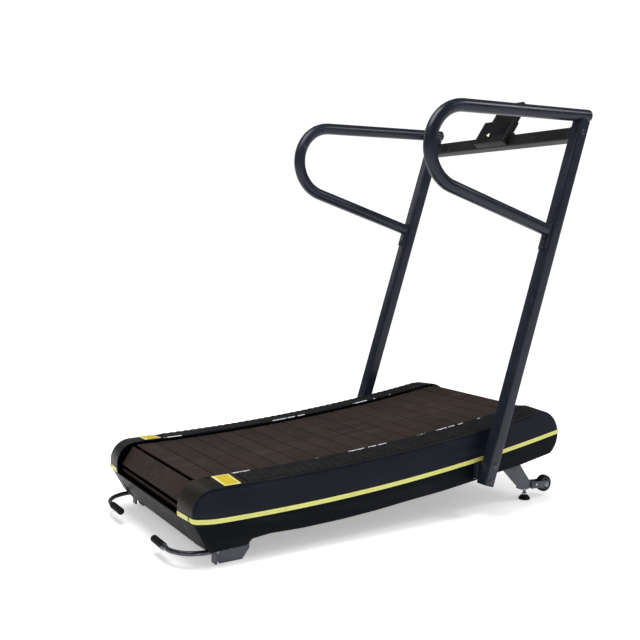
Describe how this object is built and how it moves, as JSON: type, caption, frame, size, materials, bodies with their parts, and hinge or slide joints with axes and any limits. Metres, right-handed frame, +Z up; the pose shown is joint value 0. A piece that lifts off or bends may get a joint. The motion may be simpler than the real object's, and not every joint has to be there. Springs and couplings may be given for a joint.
{
  "type": "curved manual treadmill",
  "caption": "Motorless treadmill with a concave belt of cross slats on two drums, covered side frames, leaning uprights, looped handrails and a small console.",
  "frame": {"origin": "on the floor under the middle of the machine's box", "axes": "+X to the runner's right, +Y to the front, the way the runner faces, +Z up"},
  "size_m": [0.968, 1.7692, 1.6389],
  "materials": {
    "frame_steel": "matte black structural paint",
    "powder_coat": "satin navy-grey powder coat",
    "bracket_steel": "grey painted plate",
    "bright_steel": "turned and zinc plated",
    "dark_rod": "satin black coated rod",
    "upper_cover": "fine-textured navy-black moulding",
    "lower_cover": "fine-textured black moulding",
    "trim_yellow": "satin lemon yellow profile",
    "label_yellow": "printed film with a pale border",
    "slat_rubber": "dark brown moulded slat face",
    "step_rubber": "ribbed anti-slip pad",
    "black_rubber": "moulded black rubber",
    "console_shell": "black moulding",
    "screen": "smoked display window"
  },
  "bodies": {
    "frame": {"main_beam_right": "frame_steel", "main_beam_left": "frame_steel", "cross_tube_rear": "frame_steel", "cross_tube_middle": "frame_steel", "cross_tube_front": "frame_steel", "bearing_rail_right": "bright_steel", "bearing_rail_left": "bright_steel", "bearing_block_front_right": "frame_steel", "bearing_block_front_left": "frame_steel", "bearing_block_rear_right": "frame_steel", "bearing_block_rear_left": "frame_steel", "upright_bracket_right": "powder_coat", "upright_bracket_left": "powder_coat", "front_foot_bracket_right": "bracket_steel", "front_foot_bracket_left": "bracket_steel", "rear_foot_bracket_right": "bracket_steel", "rear_foot_bracket_left": "bracket_steel", "one_way_clutch": "bright_steel", "slat_belt": "slat_rubber", "side_cover_upper_right": "upper_cover", "side_cover_upper_left": "upper_cover", "side_cover_lower_right": "lower_cover", "side_cover_lower_left": "lower_cover", "trim_strip_right": "trim_yellow", "trim_strip_left": "trim_yellow", "step_pad_right": "step_rubber", "step_pad_left": "step_rubber", "caution_label_right": "label_yellow", "caution_label_left": "label_yellow", "rear_lower_cover": "lower_cover", "front_lower_cover": "lower_cover", "upright_right": "powder_coat", "upright_left": "powder_coat", "crossbar": "frame_steel", "handrail_right": "powder_coat", "handrail_left": "powder_coat", "handrail_flange_right": "powder_coat", "handrail_flange_left": "powder_coat", "handrail_plug_right": "black_rubber", "handrail_plug_left": "black_rubber", "wheel_fork_right": "bracket_steel", "wheel_fork_left": "bracket_steel", "wheel_axle_right": "bright_steel", "wheel_axle_left": "bright_steel", "lift_rod_right": "dark_rod", "lift_rod_left": "dark_rod", "lift_grip_right": "black_rubber", "lift_grip_left": "black_rubber", "console_housing": "console_shell", "console_backrest": "console_shell", "console_display": "screen", "console_bracket": "frame_steel"},
    "front_drum": {"front_drum": "bright_steel"},
    "rear_drum": {"rear_drum": "bright_steel"},
    "console_key": {"console_key": "black_rubber"},
    "wheel_right": {"transport_wheel_right": "black_rubber"},
    "foot_right": {"levelling_foot_right": "black_rubber"},
    "wheel_left": {"transport_wheel_left": "black_rubber"},
    "foot_left": {"levelling_foot_left": "black_rubber"}
  },
  "joints": [
    {"name": "front_drum_spin", "type": "hinge", "parent": "frame", "child": "front_drum", "pos_m": [0, 0.656, 0.28133], "axis": [1, 0, 0], "continuous": true},
    {"name": "rear_drum_spin", "type": "hinge", "parent": "frame", "child": "rear_drum", "pos_m": [0, -0.7323, 0.18264], "axis": [1, 0, 0], "continuous": true},
    {"name": "wheel_spin_right", "type": "hinge", "parent": "frame", "child": "wheel_right", "pos_m": [0.364, 0.7382, 0.054], "axis": [1, 0, 0], "continuous": true},
    {"name": "foot_height_right", "type": "slide", "parent": "frame", "child": "foot_right", "axis": [0, 0, -1], "range_m": [0, 0.02]},
    {"name": "wheel_spin_left", "type": "hinge", "parent": "frame", "child": "wheel_left", "pos_m": [-0.364, 0.7382, 0.054], "axis": [1, 0, 0], "continuous": true},
    {"name": "foot_height_left", "type": "slide", "parent": "frame", "child": "foot_left", "axis": [0, 0, -1], "range_m": [0, 0.02]},
    {"name": "key_press", "type": "slide", "parent": "frame", "child": "console_key", "axis": [0, 0.8191, -0.5736], "range_m": [0, 0.0015], "stiffness_N_per_m": 400}
  ],
  "couplings": [
    {"joint": "rear_drum_spin", "follows": "front_drum_spin", "ratio": 1}
  ]
}
